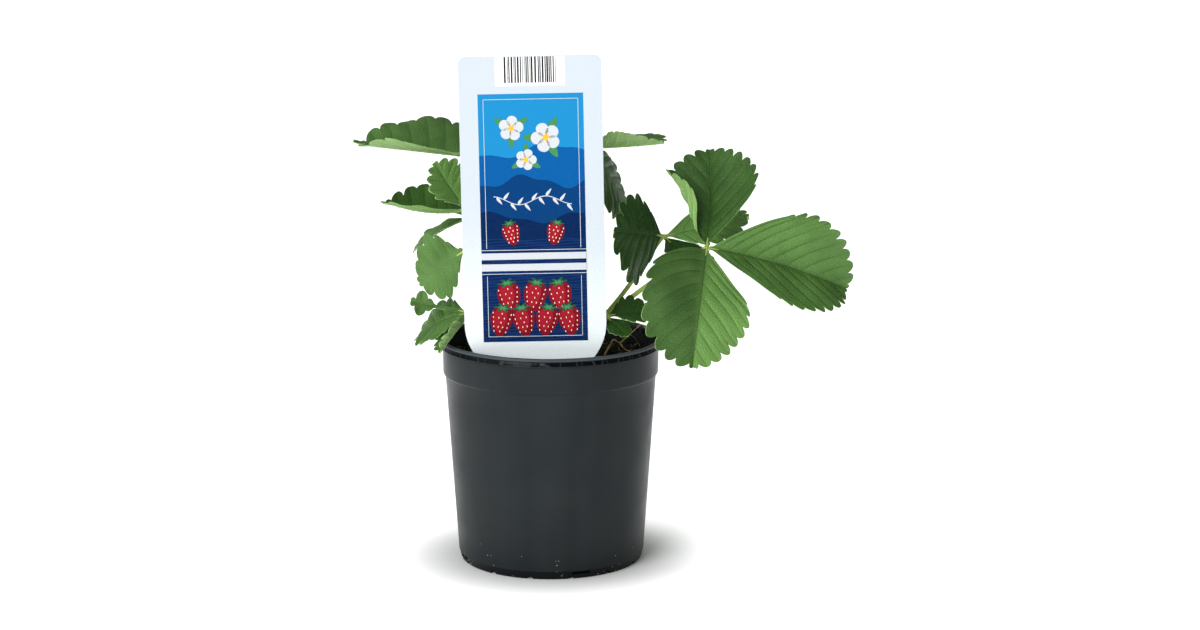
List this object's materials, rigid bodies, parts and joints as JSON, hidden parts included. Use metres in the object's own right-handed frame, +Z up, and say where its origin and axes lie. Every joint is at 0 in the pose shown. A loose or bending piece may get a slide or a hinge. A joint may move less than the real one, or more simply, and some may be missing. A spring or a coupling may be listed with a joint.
{
  "type": "potted strawberry plant",
  "caption": "Young strawberry plant with three-part toothed leaves in a round dark plastic nursery pot, with soil and an upright plant label card.",
  "frame": {"origin": "centre of the pot's flat base disc, on the surface that the pot stands on", "axes": "+Z up through the pot's axis; the plant label faces -Y; +X is to the right when the label is read"},
  "size_m": [0.2664, 0.177, 0.2781],
  "materials": {
    "pot_plastic": "satin dark bluish grey thin-walled polypropylene",
    "soil": "loose dark brown potting soil with fibres",
    "label_card": "very pale bluish white printed plastic card",
    "crown": "matt brown leaf bases",
    "stalk": "pale yellow-green, softly hairy",
    "leaf": "mid green with impressed veins on top, pale grey-green underneath",
    "dry_root": "dry brown fibre"
  },
  "bodies": {
    "root": {"pot": "pot_plastic", "soil": "soil", "plant_label": "label_card", "crown": "crown", "dry_root": "dry_root", "front_right_leaf_stalk": "stalk", "front_right_leaf_middle_leaflet": "leaf", "front_right_leaf_right_leaflet": "leaf", "front_right_leaf_left_leaflet": "leaf", "back_right_leaf_stalk": "stalk", "back_right_leaf_middle_leaflet": "leaf", "back_right_leaf_right_leaflet": "leaf", "back_right_leaf_left_leaflet": "leaf", "top_right_leaf_stalk": "stalk", "top_right_leaf_middle_leaflet": "leaf", "top_right_leaf_right_leaflet": "leaf", "top_right_leaf_left_leaflet": "leaf", "top_left_leaf_stalk": "stalk", "top_left_leaf_middle_leaflet": "leaf", "top_left_leaf_right_leaflet": "leaf", "top_left_leaf_left_leaflet": "leaf", "upper_left_leaf_stalk": "stalk", "upper_left_leaf_middle_leaflet": "leaf", "upper_left_leaf_right_leaflet": "leaf", "upper_left_leaf_left_leaflet": "leaf", "back_left_leaf_stalk": "stalk", "back_left_leaf_middle_leaflet": "leaf", "back_left_leaf_right_leaflet": "leaf", "back_left_leaf_left_leaflet": "leaf", "left_leaf_stalk": "stalk", "left_leaf_middle_leaflet": "leaf", "left_leaf_right_leaflet": "leaf", "left_leaf_left_leaflet": "leaf", "low_left_leaf_stalk": "stalk", "low_left_leaf_middle_leaflet": "leaf", "low_left_leaf_left_leaflet": "leaf", "low_left_leaf_small_leaflet": "leaf", "low_right_leaf_stalk": "stalk", "low_right_leaf_middle_leaflet": "leaf", "low_right_leaf_right_leaflet": "leaf", "low_right_leaf_left_leaflet": "leaf", "back_leaf_stalk": "stalk", "back_leaf_middle_leaflet": "leaf", "back_leaf_right_leaflet": "leaf", "back_leaf_left_leaflet": "leaf"}
  },
  "joints": []
}
